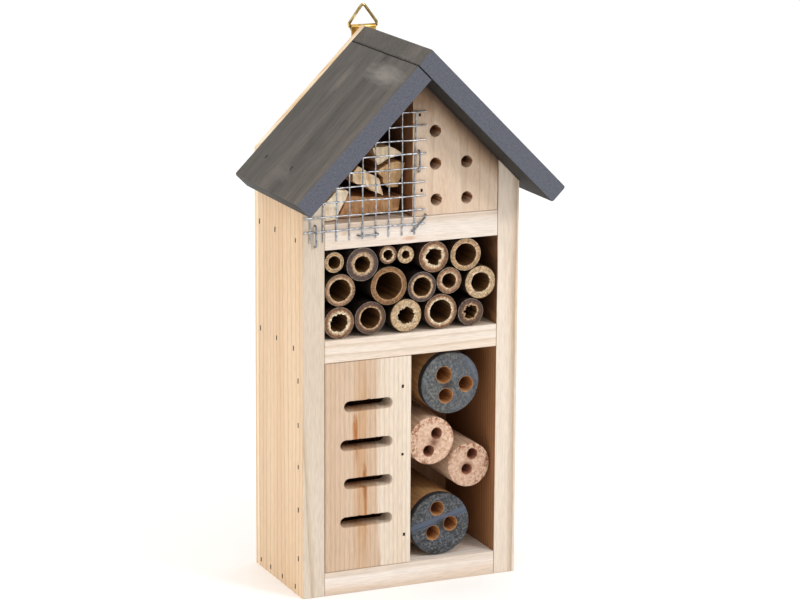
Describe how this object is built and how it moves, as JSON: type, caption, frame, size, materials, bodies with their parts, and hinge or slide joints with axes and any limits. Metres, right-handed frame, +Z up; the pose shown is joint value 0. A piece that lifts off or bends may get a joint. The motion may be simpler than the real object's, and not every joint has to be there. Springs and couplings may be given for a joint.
{
  "type": "insect hotel",
  "caption": "Small pine insect hotel: pitched stained roof, bamboo tubes, drilled logs, slotted and drilled panels, split wood behind wire mesh, and a hinged hanging ring.",
  "frame": {"origin": "centre of the underside of the house's base, midway between the side panels and midway in depth", "axes": "+X to the right as one faces the open front, +Y back towards the wall, +Z up"},
  "size_m": [0.1302, 0.0817, 0.2612],
  "materials": {
    "pine_board": "planed, unfinished pine",
    "back_board": "planed, unfinished softwood",
    "stained_roof": "slate-grey wood stain",
    "bamboo": "sawn bamboo",
    "natural_log": "turned softwood, sawn end",
    "stained_log": "turned softwood, grey-stained end",
    "split_wood": "split, rough",
    "galvanised_wire": "galvanised",
    "brad_steel": "dull steel",
    "brass": "brass-plated"
  },
  "bodies": {
    "house": {"side_panel_left": "pine_board", "side_panel_right": "pine_board", "base_board": "pine_board", "lower_shelf": "pine_board", "upper_shelf": "pine_board", "lower_divider": "pine_board", "upper_divider": "pine_board", "slotted_panel": "pine_board", "drilled_panel": "pine_board", "back_panel": "back_board", "roof_board_left": "stained_roof", "roof_board_right": "stained_roof", "wire_mesh": "galvanised_wire", "mesh_staples": "galvanised_wire", "side_brads_left": "brad_steel", "side_brads_right": "brad_steel", "front_brads": "brad_steel", "roof_brads": "brad_steel", "back_brads": "brad_steel", "hanger_strap": "brass", "hanger_screw": "brass", "log_top": "stained_log", "log_bottom": "stained_log", "log_upper_middle": "natural_log", "log_lower_middle": "natural_log", "bamboo_tube_01": "bamboo", "bamboo_tube_02": "bamboo", "bamboo_tube_03": "bamboo", "bamboo_tube_04": "bamboo", "bamboo_tube_05": "bamboo", "bamboo_tube_06": "bamboo", "bamboo_tube_07": "bamboo", "bamboo_tube_08": "bamboo", "bamboo_tube_09": "bamboo", "bamboo_tube_10": "bamboo", "bamboo_tube_11": "bamboo", "bamboo_tube_12": "bamboo", "bamboo_tube_13": "bamboo", "bamboo_tube_14": "bamboo", "bamboo_tube_15": "bamboo", "bamboo_tube_16": "bamboo", "split_wood_corner": "split_wood", "split_wood_floor": "split_wood", "split_wood_point": "split_wood", "split_wood_knot": "split_wood", "split_wood_top": "split_wood", "split_wood_eave": "split_wood", "split_wood_inner": "split_wood"},
    "hanger_ring": {"hanger_ring": "brass"}
  },
  "joints": [
    {"name": "hanger_ring_hinge", "type": "hinge", "parent": "house", "child": "hanger_ring", "pos_m": [0.0012, 0.03053, 0.2502], "axis": [1, 0, 0], "range_deg": [-150, 65]}
  ]
}
